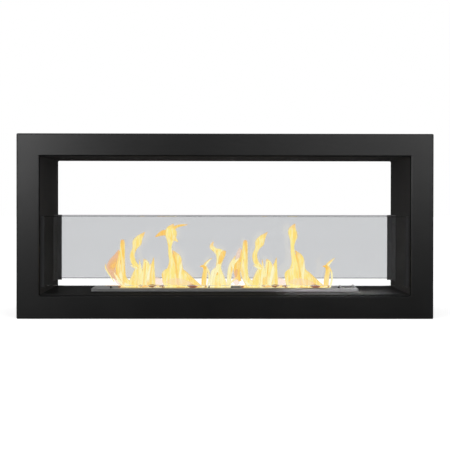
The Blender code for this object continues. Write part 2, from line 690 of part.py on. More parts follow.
# Damper plate and its two pins, open at rest
damper_slide = joint_origin("damper_slide", (0, -DAMPER_TRAVEL, DAMPER_LEVEL), burner_lift)
pin_spots = [(side * DAMPER_PIN_SPACING / 2, 0) for side in (-1, 1)]
damper_outlines = [rounded(DAMPER_LENGTH, DAMPER_WIDTH, BURNER_CORNER_RADIUS)]
damper_outlines += [circle(spot, DAMPER_PIN_TENON_HOLE_RADIUS) for spot in pin_spots]
damper_place = Matrix.Translation((0, -DAMPER_TRAVEL, DAMPER_LEVEL))
add_part("damper_plate", sheet(damper_outlines, DAMPER_SHEET), BURNER_STEEL, damper_place, damper_slide)
pin_top = TOP_FACE_LEVEL - DAMPER_LEVEL + DAMPER_PIN_RISE
pin_shoulder = DAMPER_SHEET + SEAT_GAP
damper_pin = turned(
    [
        (0, pin_top),
        (DAMPER_PIN_RADIUS - DAMPER_PIN_CHAMFER, pin_top),
        (DAMPER_PIN_RADIUS, pin_top - DAMPER_PIN_CHAMFER),
        (DAMPER_PIN_RADIUS, pin_shoulder),
        (DAMPER_PIN_TENON_RADIUS, pin_shoulder),
        (DAMPER_PIN_TENON_RADIUS, 0),
        (0, 0),
    ]
)
for spot, name in zip(pin_spots, ("left_damper_pin", "right_damper_pin")):
    pin_place = damper_place @ Matrix.Translation((*spot, 0))
    add_part(name, damper_pin.copy(), ZINC_STEEL, pin_place, damper_slide)

# Filler frame with its two hinge eyes, the lid with its own eye and finger tab, and the hinge pin
STAND_ALONG_Y = Matrix.Rotation(radians(90), 4, "X")
hinge = (HINGE_LINE, 0, HINGE_LEVEL)
foot_depth = HINGE_LEVEL - FILLER_LEVEL - FILLER_SHEET / 2
bore = circle((0, 0), HINGE_BORE_RADIUS)
frame_eye_outline = arc((0, 0), HINGE_EYE_RADIUS, 0, 180, 6)
frame_eye_outline += [(-HINGE_EYE_RADIUS, -foot_depth), (HINGE_EYE_RADIUS, -foot_depth)]
leaf_top = HINGE_LEAF_SHEET - HINGE_EYE_RADIUS
lid_eye_outline = arc((0, 0), HINGE_EYE_RADIUS, -90, 180, 9)
lid_eye_outline += [
    (-HINGE_EYE_RADIUS, leaf_top),
    (-HINGE_LEAF_REACH, leaf_top),
    (-HINGE_LEAF_REACH, -HINGE_EYE_RADIUS),
]


def eye_mesh(outline, length, middle):
    """One eye of the hinge, round the pin, centred at a distance along it."""
    eye = sheet([outline, bore], length)
    eye.transform(Matrix.Translation((HINGE_LINE, middle + length / 2, HINGE_LEVEL)) @ STAND_ALONG_Y)
    return eye


frame_outlines = [
    rounded(FILLER_LENGTH, FILLER_WIDTH, FILLER_CORNER_RADIUS, (FILLER_CENTRE, 0)),
    rounded(
        FILLER_LENGTH - 2 * FILLER_BORDER,
        FILLER_WIDTH - 2 * FILLER_BORDER,
        FILLER_CORNER_RADIUS,
        (FILLER_CENTRE, 0),
    ),
]
frame_outlines += [circle(spot, BURNER_SCREW_HOLE_RADIUS) for spot in frame_spots]
filler_ring = sheet(frame_outlines, FILLER_SHEET)
filler_ring.transform(Matrix.Translation((0, 0, FILLER_LEVEL)))
eye_centre = (LID_EYE_LENGTH + FRAME_EYE_LENGTH) / 2 + SEAT_GAP
frame_eyes = [eye_mesh(frame_eye_outline, FRAME_EYE_LENGTH, side * eye_centre) for side in (-1, 1)]
add_part("filler_frame", united(filler_ring, *frame_eyes), BURNER_STEEL, Matrix(), burner_lift)

lid_length = FILLER_LENGTH - 2 * (FILLER_BORDER + SEAT_GAP)
lid_width = FILLER_WIDTH - 2 * (FILLER_BORDER + SEAT_GAP)
lid_plate = sheet([rounded(lid_length, lid_width, FILLER_CORNER_RADIUS, (FILLER_CENTRE, 0))], LID_SHEET)
lid_plate.transform(Matrix.Translation((0, 0, FILLER_LEVEL)))
tab_centre = (FILLER_CENTRE - lid_length / 2, 0, FILLER_FACE_LEVEL + SEAT_GAP + LID_TAB_SHEET / 2)
finger_tab = block((2 * LID_TAB_REACH, LID_TAB_WIDTH, LID_TAB_SHEET), tab_centre)
lid_hinge = joint_origin("filler_lid_hinge", hinge, burner_lift)
lid_mesh = united(lid_plate, eye_mesh(lid_eye_outline, LID_EYE_LENGTH, 0), finger_tab)
add_part("filler_lid", lid_mesh, BURNER_STEEL, Matrix(), lid_hinge)

pin_reach = eye_centre + FRAME_EYE_LENGTH / 2 + SEAT_GAP
hinge_pin = turned(
    [
        (0, pin_reach + HINGE_PIN_HEAD_HEIGHT),
        (HINGE_PIN_HEAD_RADIUS, pin_reach + HINGE_PIN_HEAD_HEIGHT),
        (HINGE_PIN_HEAD_RADIUS, pin_reach),
        (HINGE_PIN_RADIUS, pin_reach),
        (HINGE_PIN_RADIUS, -pin_reach),
        (0, -pin_reach),
    ]
)
add_part("filler_hinge_pin", hinge_pin, ZINC_STEEL, facing(hinge, (0, 1, 0)), burner_lift)
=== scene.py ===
"""A double-sided spirit fireplace in its satin black casing, burning behind low panes of glass."""

import json

from math import cos, pi, sin

import bmesh
import bpy
from mathutils import Matrix, Vector

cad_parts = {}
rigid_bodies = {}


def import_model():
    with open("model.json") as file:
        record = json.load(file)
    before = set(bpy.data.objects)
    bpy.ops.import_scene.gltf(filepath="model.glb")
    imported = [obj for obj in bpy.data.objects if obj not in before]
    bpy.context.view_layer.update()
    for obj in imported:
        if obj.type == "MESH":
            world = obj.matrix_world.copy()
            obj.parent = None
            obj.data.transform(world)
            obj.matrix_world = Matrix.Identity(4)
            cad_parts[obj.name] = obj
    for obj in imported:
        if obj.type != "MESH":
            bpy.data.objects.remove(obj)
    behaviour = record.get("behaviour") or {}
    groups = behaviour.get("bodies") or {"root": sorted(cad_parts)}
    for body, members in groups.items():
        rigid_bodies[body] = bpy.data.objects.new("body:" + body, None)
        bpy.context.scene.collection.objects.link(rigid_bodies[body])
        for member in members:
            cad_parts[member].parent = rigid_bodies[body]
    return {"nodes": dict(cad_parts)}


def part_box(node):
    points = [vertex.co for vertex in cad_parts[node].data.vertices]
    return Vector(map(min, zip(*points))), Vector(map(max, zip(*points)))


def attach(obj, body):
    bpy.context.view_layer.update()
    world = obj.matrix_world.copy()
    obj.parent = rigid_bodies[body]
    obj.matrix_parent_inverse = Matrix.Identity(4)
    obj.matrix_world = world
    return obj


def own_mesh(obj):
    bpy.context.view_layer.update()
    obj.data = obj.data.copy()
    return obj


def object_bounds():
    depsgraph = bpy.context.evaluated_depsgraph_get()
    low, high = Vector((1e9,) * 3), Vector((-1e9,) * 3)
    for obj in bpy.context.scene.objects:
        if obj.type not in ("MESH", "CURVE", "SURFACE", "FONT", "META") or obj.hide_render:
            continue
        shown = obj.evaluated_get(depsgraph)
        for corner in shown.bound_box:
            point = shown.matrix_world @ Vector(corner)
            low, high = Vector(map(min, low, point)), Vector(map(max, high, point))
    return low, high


for old in list(bpy.data.objects):
    bpy.data.objects.remove(old, do_unlink=True)
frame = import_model()
nodes = frame["nodes"]
cad_box = [list(corner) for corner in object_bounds()]

# ---- Trims ----
# Each opening is framed by a border folded from one steel sheet, with its returns turned back.
# The whole frame is powder coated satin black, so it shows a faint grain and soft reflections.


class Wiring:
    """A node tree with short calls that add nodes. A value is a number, a colour or a socket."""

    def __init__(self, tree):
        self.tree = tree

    def give(self, socket, value):
        if isinstance(value, bpy.types.NodeSocket):
            self.tree.links.new(value, socket)
        elif socket.type == "RGBA":
            socket.default_value = (*value, 1)
        else:
            socket.default_value = value

    def set(self, node, **values):
        """Gives a node's sockets their values, each by its name with _ for a space."""
        for name, value in values.items():
            self.give(node.inputs[name.replace("_", " ")], value)

    def add(self, kind, **values):
        node = self.tree.nodes.new(kind)
        self.set(node, **values)
        return node

    def math(self, operation, *values):
        node = self.tree.nodes.new("ShaderNodeMath")
        node.operation = operation
        for socket, value in zip(node.inputs, values):
            self.give(socket, value)
        return node.outputs["Value"]

    def mix(self, kind, factor, first, second):
        """One number or colour turned into another by a factor."""
        node = self.tree.nodes.new("ShaderNodeMix")
        node.data_type = kind
        self.set(node, Factor=factor, A=first, B=second)
        return node.outputs["Result"]

    def spread(self, factor, low, high, start=0.0, end=1.0):
        """A factor that runs from start to end, spread from low to high."""
        node = self.add("ShaderNodeMapRange", From_Min=start, From_Max=end, To_Min=low, To_Max=high)
        self.set(node, Value=factor)
        return node.outputs["Result"]

    def ramp(self, factor, stops):
        """A colour or a grey that follows a factor through its stops."""
        node = self.tree.nodes.new("ShaderNodeValToRGB")
        for place, _ in stops[1:-1]:
            node.color_ramp.elements.new(place)
        for element, (place, colour) in zip(node.color_ramp.elements, stops):
            element.position = place
            element.color = (*(colour if isinstance(colour, tuple) else (colour,) * 3), 1)
        self.set(node, Fac=factor)
        return node.outputs["Color"]

    def place(self, output="Object"):
        """The point itself, on its object, or for the world the direction looked in."""
        return self.add("ShaderNodeTexCoord").outputs[output]

    def part(self, vector, axis):
        """A vector's part along one axis."""
        return self.add("ShaderNodeSeparateXYZ", Vector=vector).outputs[axis]


class Finish(Wiring):
    """A Principled material, with patterns on Object coordinates."""

    def __init__(self, name, colour, roughness, metallic=0.0, specular=0.5):
        self.material = bpy.data.materials.new(name)
        self.material.use_nodes = True
        super().__init__(self.material.node_tree)
        self.shader = self.tree.nodes["Principled BSDF"]
        self.colour = colour
        self.set(self.shader, Base_Color=colour, Roughness=roughness, Metallic=metallic)
        self.set(self.shader, Specular_IOR_Level=specular)

    def noise(self, scale, stretch=(1, 1, 1), detail=2.0, roughness=0.5):
        """Noise of so many bumps a metre, stretched along the axes."""
        mapping = self.add("ShaderNodeMapping", Vector=self.place(), Scale=stretch)
        at = mapping.outputs["Vector"]
        noise = self.add("ShaderNodeTexNoise", Vector=at, Scale=scale, Detail=detail)
        self.set(noise, Roughness=roughness)
        return noise.outputs["Fac"]

    def shade(self, factor, low, high):
        """The finish's colour, darkened or lightened by a factor."""
        shades = [tuple(share * value for value in self.colour) for share in (low, high)]
        self.set(self.shader, Base_Color=self.ramp(factor, list(zip((0, 1), shades))))

    def rough(self, factor, low, high):
        """A roughness that follows a factor."""
        self.set(self.shader, Roughness=self.spread(factor, low, high))

    def bump(self, factor, height):
        """A surface that rises with a factor, by up to so many metres."""
        bump = self.add("ShaderNodeBump", Strength=1.0, Distance=height, Height=factor)
        self.set(self.shader, Normal=bump.outputs["Normal"])


def dress(names, finish):
    """Gives CAD nodes their finish."""
    for name in names:
        slots = nodes[name].data.materials
        slots.clear()
        slots.append(finish.material)


COAT_COLOUR = (0.0052, 0.0052, 0.0054)


def coat(name, roughness, specular, colour=COAT_COLOUR):
    """Powder coat, with a fine grain and faint clouds where it lies thicker or thinner."""
    finish = Finish(name, colour, roughness, specular=specular)
    cloud = finish.noise(scale=9, detail=4)
    finish.shade(cloud, low=0.85, high=1.15)
    finish.rough(cloud, low=roughness - 0.05, high=roughness + 0.05)
    finish.bump(finish.noise(scale=1400, detail=2), height=0.00004)
    return finish


def dull_returns(finish, dull, gloss):
    """Leaves the faces that look out glossy, and the returns that look along or across dull."""
    normal = finish.add("ShaderNodeNewGeometry").outputs["Normal"]
    outward = finish.math("ABSOLUTE", finish.part(normal, "Y"))
    finish.set(finish.shader, Specular_IOR_Level=finish.spread(outward, dull, gloss))


trim_coat = coat("satin_black_coat", roughness=0.34, specular=0.5)
dull_returns(trim_coat, dull=0.0, gloss=0.5)
dress(["front_trim", "rear_trim"], trim_coat)

# ---- Lining and outer sheets ----
# Folded channels line the tunnel and flat sheets close them outside, all in the same coat.
# Inside it is duller, because heat has dried the coat out, and the floor keeps a faint sheen.

lining_coat = coat("dried_black_coat", roughness=0.6, specular=0.0, colour=(0.036, 0.035, 0.035))
dress(["left_liner", "right_liner", "ceiling_liner"], lining_coat)
floor_coat = coat("smooth_black_coat", roughness=0.6, specular=0.0, colour=(0.02, 0.02, 0.02))
floor_coat.set(floor_coat.shader, Coat_Weight=0.018, Coat_Roughness=0.2)
dress(["floor_panel"], floor_coat)
outer_coat = coat("outer_black_coat", roughness=0.34, specular=0.5)
dress([f"outer_{side}_panel" for side in ("top", "bottom", "left", "right")], outer_coat)

# ---- Rivets ----
# Low steel rivet heads, coated with the casing, fasten the outer sheets to the channels inside.
# Each head is a flat dome, turned to stand off its sheet, and two rows run along every sheet.

RIVET_RADIUS = 0.003
RIVET_HEIGHT = 0.0009
RIVET_SINK = 0.0002
RIVET_ROW = 0.0977
DOME_SEGMENTS = 20
DOME_RINGS = 10
# Where the heads stand along each sheet, as shares of its width or height from its middle.
RIVET_SHARES = {
    "outer_top_panel": (-0.36, 0, 0.36),
    "outer_bottom_panel": (-0.36, 0, 0.36),
    "outer_left_panel": (-0.3, 0.3),
    "outer_right_panel": (-0.3, 0.3),
}


def rivet_tree(finish):
    """Sets a flat dome on every point, facing the way that the point's own arrow says."""
    tree = bpy.data.node_groups.new("rivet_heads", "GeometryNodeTree")
    tree.interface.new_socket("Points", in_out="INPUT", socket_type="NodeSocketGeometry")
    for name in ("Radius", "Height"):
        tree.interface.new_socket(name, in_out="INPUT", socket_type="NodeSocketFloat")
    tree.interface.new_socket("Heads", in_out="OUTPUT", socket_type="NodeSocketGeometry")
    heads = Wiring(tree)
    given = heads.add("NodeGroupInput").outputs
    ball = heads.add("GeometryNodeMeshUVSphere", Segments=DOME_SEGMENTS, Rings=DOME_RINGS, Radius=1)
    facing = heads.add("GeometryNodeInputNamedAttribute", Name="facing")
    facing.data_type = "FLOAT_VECTOR"
    turn = heads.add("FunctionNodeAlignRotationToVector", Vector=facing.outputs["Attribute"])
    turn.axis = "Z"
    size = heads.add("ShaderNodeCombineXYZ", X=given["Radius"], Y=given["Radius"])
    heads.set(size, Z=given["Height"])
    spread = heads.add("GeometryNodeInstanceOnPoints", Points=given["Points"])
    heads.set(spread, Instance=ball.outputs["Mesh"], Rotation=turn.outputs["Rotation"])
    heads.set(spread, Scale=size.outputs["Vector"])
    real = heads.add("GeometryNodeRealizeInstances", Geometry=spread.outputs["Instances"])
    coated = heads.add("GeometryNodeSetMaterial", Geometry=real.outputs["Geometry"])
    heads.set(coated, Material=finish.material)
    heads.add("NodeGroupOutput", Heads=coated.outputs["Geometry"])
    return tree


def made_plain(name, points, arrows, tree, sizes):
    """Runs the tree on the points, with its named sizes set, and keeps a plain mesh."""
    seeds = bpy.data.meshes.new(name + "_points")
    seeds.from_pydata(points, [], [])
    facing = seeds.attributes.new("facing", "FLOAT_VECTOR", "POINT")
    facing.data.foreach_set("vector", [value for arrow in arrows for value in arrow])
    holder = bpy.data.objects.new(name + "_points", seeds)
    bpy.context.scene.collection.objects.link(holder)
    heads = holder.modifiers.new("heads", "NODES")
    heads.node_group = tree
    for socket in tree.interface.items_tree:
        if socket.name in sizes:
            heads[socket.identifier] = sizes[socket.name]
    graph = bpy.context.evaluated_depsgraph_get()
    mesh = bpy.data.meshes.new_from_object(holder.evaluated_get(graph))
    bpy.data.objects.remove(holder, do_unlink=True)
    piece = bpy.data.objects.new(name, mesh)
    bpy.context.scene.collection.objects.link(piece)
    return piece


rivet_points, rivet_arrows = [], []
for sheet, shares in RIVET_SHARES.items():
    low, high = (Vector(corner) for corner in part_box(sheet))
    middle, size = (low + high) / 2, high - low
    across, thick = (0, 2) if size.x > size.z else (2, 0)
    casing_middle = (cad_box[0][thick] + cad_box[1][thick]) / 2
    outward = Vector((0, 0, 0))
    outward[thick] = 1 if middle[thick] > casing_middle else -1
    for share in shares:
        for row in (-RIVET_ROW, RIVET_ROW):
            point = middle + outward * (size[thick] / 2 - RIVET_SINK)
            point[across] += share * size[across]
            point.y = row
            rivet_points.append(point)
            rivet_arrows.append(outward)
head_sizes = {"Radius": RIVET_RADIUS, "Height": RIVET_HEIGHT}
heads_tree = rivet_tree(outer_coat)
rivets = made_plain("casing_rivets", rivet_points, rivet_arrows, heads_tree, head_sizes)
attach(rivets, "casing")

# ---- Nuts and burner screws ----
# Plain nuts hold the trims from inside, and small screws hold down the burner's top plate.
# They are pressed steel, zinc plated, with the plating's cloudy shine.

zinc = Finish("zinc_plate", (0.55, 0.55, 0.52), roughness=0.35, metallic=1.0)
zinc_cloud = zinc.noise(scale=300)
zinc.shade(zinc_cloud, low=0.8, high=1.1)
zinc.rough(zinc_cloud, low=0.28, high=0.45)
dress([name for name in nodes if "_nut_" in name or name.startswith("burner_screw")], zinc)

# ---- Glass holders ----
# Folded steel grooves take the ends of the panes. Black pan-head screws hold them to the side
# walls, and a rubber pad in the foot of each carries the glass.

HOLDER_PARTS = ("glass_holder", "holder_screw")

held = sorted(name for name in nodes if any(part in name for part in HOLDER_PARTS))
at_back = [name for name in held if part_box(name)[0][1] > 0]
at_front = [name for name in held if name not in at_back]
dress(at_front, coat("front_holder_coat", 0.38, 0.0, colour=(0.034, 0.034, 0.035)))
# The rear holders and their screws take a paler copy of the holder coat, painted lighter than the
# front ones: painted light.
dress(at_back, coat("rear_holder_painted_light_coat", 0.38, 0.0, colour=(0.075, 0.075, 0.079)))
rubber = Finish("black_rubber", (0.02, 0.02, 0.02), roughness=0.8)
rubber.bump(rubber.noise(scale=2500), height=0.00005)
dress([name for name in nodes if name.endswith("glass_pad")], rubber)

# ---- Panes ----
# Two low panes of toughened glass stand in the holders: the front one clear, the rear one smoked.
# Their edges are ground, and the glass is painted darker in a band along them: painted shade.

EDGE_SHADE_BAND = 0.0018
GLASS_INDEX = 1.45


def painted_edge_shade(finish, shade, foot):
    """The glass's colour, with painted shade along the top edge and, up to foot, along the bottom
    one.
    """
    low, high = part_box("front_glass")[0][2] + foot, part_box("front_glass")[1][2] - EDGE_SHADE_BAND
    height = finish.part(finish.place(), "Z")
    inner = finish.math("COMPARE", height, (low + high) / 2, (high - low) / 2)
    edge_shade = tuple(shade * value for value in finish.colour)
    return finish.mix("RGBA", inner, edge_shade, finish.colour)


def glass(name, colour, shade, foot):
    """Glass that plain light passes straight through, tinted."""
    finish = Finish(name, colour, roughness=0.0)
    edge_shaded_tint = painted_edge_shade(finish, shade, foot)
    finish.set(finish.shader, Base_Color=edge_shaded_tint, Transmission_Weight=1.0, IOR=GLASS_INDEX)
    shadow = finish.add("ShaderNodeLightPath").outputs["Is Shadow Ray"]
    clear = finish.add("ShaderNodeBsdfTransparent", Color=colour)
    either = finish.add("ShaderNodeMixShader")
    for socket, value in zip(either.inputs, (shadow, finish.shader.outputs[0], clear.outputs[0])):
        finish.give(socket, value)
    finish.set(finish.tree.nodes["Material Output"], Surface=either.outputs[0])
    return finish


clear_glass = glass("clear_glass", (0.99, 1.0, 0.99), shade=0.52, foot=-EDGE_SHADE_BAND)
smoked_glass = glass("smoked_glass", (0.624, 0.628, 0.648), shade=0.46, foot=EDGE_SHADE_BAND)
dress(["front_glass"], clear_glass)
dress(["rear_glass"], smoked_glass)

# ---- Burner ----
# A brushed steel tray hangs in the floor, with its slotted top plate, damper and filler over it.
# The steel is brushed along its length and has dulled from the heat, and the lid has browned.


def brushed_steel(name, colour, metallic, roughness, specular=0.5):
    """Steel with long fine streaks of shade and shine."""
    finish = Finish(name, colour, roughness, metallic, specular)
    brushed = finish.noise(scale=1, stretch=(14, 1500, 1500), detail=3)
    finish.shade(brushed, low=0.8, high=1.2)
    finish.rough(brushed, low=roughness - 0.08, high=roughness + 0.1)
    finish.bump(brushed, height=0.00003)
    return finish


dulled = brushed_steel("brushed_steel", (0.16, 0.16, 0.163), metallic=0.3, roughness=0.45)
polished = brushed_steel("polished_frame", (0.5, 0.5, 0.5), metallic=0.4, roughness=0.25)
browned = brushed_steel("browned_lid", (0.06, 0.055, 0.052), 0.0, roughness=0.5, specular=0.15)
blackened = Finish("blackened_steel", (0.012, 0.012, 0.012), roughness=0.4)
blackened.rough(blackened.noise(scale=400), low=0.34, high=0.46)
dress(["burner_tray", "burner_top", "damper_plate"], dulled)
dress(["left_damper_guide", "right_damper_guide"], dulled)
dress(["filler_frame"], polished)
dress(["filler_lid"], browned)
dress(["left_damper_pin", "right_damper_pin"], blackened)
dress(["filler_hinge_pin"], zinc)

# ---- Ceramic wool ----
# A block of white ceramic fibre fills the tray and soaks up the fuel. It is soft and matt, and its
# fibres lie in felted layers.

wool = Finish("ceramic_fibre", (0.80, 0.78, 0.72), roughness=0.95)
fibres = wool.noise(scale=260, stretch=(1, 2.5, 2.5), detail=5, roughness=0.65)
wool.shade(fibres, low=0.75, high=1.05)
wool.bump(fibres, height=0.0012)
dress(["ceramic_wool"], wool)

# ---- Flames ----
# Spirit vapour burns along the slot in tongues that twist as they rise and curl over at the tip.
# They are yellow with a cream heart and an orange rim, and each set stands over half the slot.

# The tongues stand on the top plate with their feet a little in the slot.
FLAME_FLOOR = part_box("burner_top")[1][2]
FLAME_SINK = 0.001
SET_PITCH = 0.280
MM = 0.001

# Each tongue: how far behind the slot's middle it stands, its tint from cream (-1) over yellow (0)
# and peach (1) to ember brown (2), then its line from the foot up as (place along the slot, rise
# above the plate, half width), all in millimetres. Tints near 1.3 are thin pink haze.
EACH_SET = (
    (3, 0.35, ((-243.3, 1.1, 0.7), (-236.4, 1.3, 3.9), (-212.4, 1.8, 4.6), (-171.3, 1.6, 4.3),
        (-125.5, 1.6, 4.3), (-79.8, 1.7, 4.3), (-50, 1.5, 4.1), (-38.6, 1.2, 0.7))),
    (-6, 1.9, ((-242.9, 2, 1.4), (-239.8, 2.4, 2.5), (-236.6, 2, 0.9))),
    (-6, 1.8, ((-196.5, 3.4, 1.1), (-192.4, 4.3, 2.5), (-187.9, 2.5, 1.1))),
    (-6, 0.7, ((-187.9, 2.7, 1.4), (-181.5, 2.9, 3), (-175.1, 2.9, 1.4))),
    (-6, 2, ((-174.2, 4.3, 1.1), (-165.6, 3.4, 4.3), (-155.5, 4.3, 1.1))),
    (-6, 1.95, ((-149.2, 2.5, 1.1), (-142.3, 3.2, 3.4), (-135, 2.9, 1.4))),
    (-6, 1.9, ((-131.4, 2, 1.1), (-126.8, 3.4, 3), (-122.3, 2, 1.1))),
    (-6, 0.6, ((-114.8, 0.2, 0.9), (-102.2, -0.2, 1.6), (-86.3, 0.2, 0.9))),
    (-6, 1.95, ((-85.4, 3.9, 1.4), (-74.9, 3, 4.3), (-62.1, 2.5, 1.4))),
    (-6, 1.9, ((-47.6, 2.1, 1.1), (-44.4, 3.4, 2.5), (-41.6, 2.5, 1.1))),
    (-7, -0.6, ((-183, 0.3, 0.7), (-169.3, 0.3, 1.1), (-159.1, 1.7, 1.1), (-151.1, 0.3, 1.1),
        (-138.6, 3, 1.1), (-130.7, 6.9, 0.7))),
    (-7, -0.6, ((-57.8, -0.1, 0.7), (-49.8, 1.7, 1.1), (-41.9, 5.4, 0.7))),
    (6, 1.3, ((-174.9, 12.6, 1.8), (-164.6, 14.2, 9.6), (-150.9, 13, 8.2), (-136, 10.7, 1.8))),
    (-7, 1.25, ((-136.4, 11.7, 1.1), (-122.7, 13.5, 7.7), (-102.2, 13.1, 8.2), (-84, 10.4, 4.6),
        (-72.6, 6.7, 1.1))),
    (-8, -0.8, ((-120.8, 6.8, 0.9), (-119, 16.1, 1.1), (-117.2, 24.1, 0.6))),
    (1, 0.1, ((-213.4, -1, 11.4), (-202.7, 30.1, 8.2), (-199.5, 45.2, 5.3), (-208.6, 57.6, 6.2),
        (-211.6, 73.6, 5.7), (-206.3, 88.4, 5.3), (-201.3, 101, 10.7), (-195.4, 111.8, 8.2),
        (-188.1, 120.2, 3.9), (-182.6, 126.2, 0.7))),
    (0, 0.5, ((-208.5, 55.3, 2.7), (-211.7, 71.3, 3), (-206.7, 87.3, 2.7), (-200.8, 96.5, 0.7))),
    (-3, -0.5, ((-197, 42.3, 3), (-206.2, 46.4, 2.7), (-215.5, 51, 0.7))),
    (-2, -0.3, ((-194.8, -1, 6.8), (-191.9, 25.8, 6.4), (-193, 44.1, 3.4), (-195.1, 63.7, 0.6))),
    (2, -0.15, ((-179, -1, 9.6), (-179, 23.2, 10.1), (-179.2, 43.8, 9.4), (-180.8, 56.1, 6.6),
        (-184.9, 64.4, 1.6))),
    (-1, 0.1, ((-166.4, -1, 8.2), (-165.5, 23.5, 6.8), (-165.5, 44, 5.2), (-162.1, 68.2, 0.7))),
    (-4, -1, ((-177.8, 5.9, 3), (-173.9, 23.7, 3.9), (-170.7, 39.7, 3.4), (-169.2, 54.5, 1.1))),
    (-4, 0.42, ((-185.3, 7.7, 1.1), (-183, 30.6, 1.4), (-181.2, 48.8, 1.1), (-180.8, 57.9, 0.7))),
    (-4, 0.1, ((-128.5, -1, 9.1), (-136.8, 20.3, 6.4), (-138.1, 32.4, 5.2), (-129.7, 40.9, 3.6),
        (-122.4, 48.8, 0.9))),
    (5, 0.3, ((-110.7, -1, 10.3), (-110.8, 29.9, 9.6), (-112.4, 52.8, 6.9), (-117.5, 75.7, 2.3))),
    (2, 0.1, ((-90, -1, 16), (-95.1, 18.7, 14.2), (-103.1, 34.7, 10.1), (-104.5, 53, 7.1),
        (-107.7, 68.6, 6.9), (-119.6, 84.6, 0.7))),
    (4, 0.25, ((-56.9, -1, 6), (-77.5, 13.9, 9.2), (-93.5, 26.8, 10.5), (-106.1, 39.1, 8.2))),
    (-5, 0.5, ((-108.9, 23.8, 2.1), (-109.2, 34.1, 1.8), (-111, 48.9, 1.1), (-114.6, 64.9, 1.4),
        (-119.2, 83.1, 0.7))),
    (-5, -0.7, ((-98.9, 7.9, 1.8), (-102.3, 26.1, 2.7), (-100, 44.4, 2.1), (-99.4, 62.6, 0.9))),
    (1, 0.3, ((-48.4, -1, 5.5), (-47.5, 18.8, 5.9), (-44.7, 37.1, 5.5), (-45.9, 49.5, 4.1),
        (-39.7, 58.4, 2.3), (-29.7, 67.1, 0.6))),
    (-3, -0.5, ((-40.3, -1, 2.1), (-36, 16.9, 2.1), (-36.7, 35.1, 2.1), (-43.1, 49.7, 0.9))),
    (-1, 0.5, ((-44, 41.8, 3.7), (-50, 48.2, 3), (-56.8, 47.8, 0.7))),
    (-4, -0.9, ((-44.5, 49.8, 1.8), (-38.1, 58.5, 1.8), (-29.6, 67.2, 0.7))),
)
TRUNK = ((-121.9, -1, 17.1), (-124.5, 18.8, 16.4), (-121.5, 39.4, 11.9), (-121.1, 57.7, 6.9),
    (-124.7, 78.3, 5), (-125.7, 94.3, 4.6))
LEFT_HEAD = ((-124.8, 106.8, 8.4), (-123.4, 119.4, 13.7), (-122.7, 131.3, 12.3),
    (-119.8, 139.5, 6.4), (-117.3, 144.8, 0.9))
RIGHT_HEAD = ((-124.8, 105.7, 6.6), (-123.9, 116, 10), (-125.9, 128.5, 10), (-123.6, 137.7, 6.4),
    (-119.5, 145.2, 0.9))
LEFT_ONLY = (
    (-3, 0.95, ((-244.9, 17.9, 3.2), (-252.4, 27, 6.8), (-259.7, 43, 10.5), (-255.2, 58.3, 9.6),
        (-247.9, 71.9, 5.5), (-243.3, 84.7, 0.9))),
    (-5, 0.62, ((-255.8, 39.7, 2.7), (-256.3, 47.9, 7.3), (-252.2, 56.6, 5), (-247.2, 68.2, 0.9))),
    (-4, 1.3, ((-235.7, 4.5, 2.7), (-243.6, 14.5, 5.5), (-250.9, 24.8, 3.2))),
    (-6, -0.2, ((-251.6, 13.6, 0.9), (-258.4, 22.9, 1.4), (-266.4, 34.8, 1.6), (-271.6, 45.7, 1.6),
        (-270.7, 54.3, 0.7))),
    (-6, -0.6, ((-227.5, 3.3, 3), (-240, 14.7, 3.2), (-249.1, 28.4, 2.3), (-255.9, 39.8, 0.7))),
    (3, 0.4, ((-228.4, -1, 6.9), (-241.2, 25.4, 6.4), (-244.5, 46, 5.5), (-242.2, 66.6, 4.1),
        (-242.6, 86, 0.7))),
    (0, 0.1, ((-214.4, -1, 11.4), (-230.4, 17.6, 8.2), (-236.3, 37, 9.8), (-235.7, 59.9, 8),
        (-234.1, 82.7, 6.2), (-233.6, 99.9, 5.5), (-233.7, 108.8, 3.9))),
    (-3, 0.42, ((-226.9, 21.3, 0.9), (-229.2, 39.6, 1.6), (-230.1, 60.1, 1.8), (-232.6, 82.9, 2.7),
        (-233.3, 98.9, 4.1), (-233.3, 107.5, 3))),
    (-4, -0.9, ((-214, 3.2, 3.2), (-230.4, 11.1, 3), (-236.8, 28.2, 3.9), (-238.6, 46.5, 2.7),
        (-237.3, 62.4, 0.9))),
    (0, 0, TRUNK + LEFT_HEAD),
    (-1, 0.45, ((-122, 132, 4.6), (-109.4, 139.1, 3.2), (-98, 141.8, 2.3), (-85.2, 142.8, 0.7))),
    (1, 0.55, ((-128.9, 125.3, 6.9), (-141.5, 124.2, 6.4), (-151.1, 120, 3.9), (-159.3, 115, 0.7))),
    (-2, 0.1, ((-120.1, 117.7, 6.4), (-113.2, 109.7, 4.1), (-107.1, 104, 0.7))),
    (0, -0.2, ((-12.2, -1, 20.6), (-13.9, 23.5, 13.3), (-14.8, 45.2, 6.6), (-11.6, 63.3, 7.8),
        (-10.7, 76.5, 11), (-22.6, 85.2, 5.5), (-30.2, 93.4, 5), (-26.3, 104.4, 0.9))),
    (2, -0.6, ((-28.2, -1, 6.9), (-28, 23.3, 5.5), (-26.2, 35.9, 4.6), (-20.3, 45.3, 1.4))),
    (-4, 0.43, ((-13, 53.5, 2.7), (-8, 68.3, 6.2), (-3.9, 77.7, 6.2), (1.1, 83.6, 2.1))),
    (-5, 0.5, ((-17.5, 23.9, 1.1), (-17.5, 29.6, 2.1), (-16.6, 35.3, 0.9))),
    (-4, -0.7, ((-25.9, 6.7, 1.6), (-22.1, 23.8, 2.3), (-20.3, 42.1, 1.8), (-14.6, 58.1, 0.9))),
)
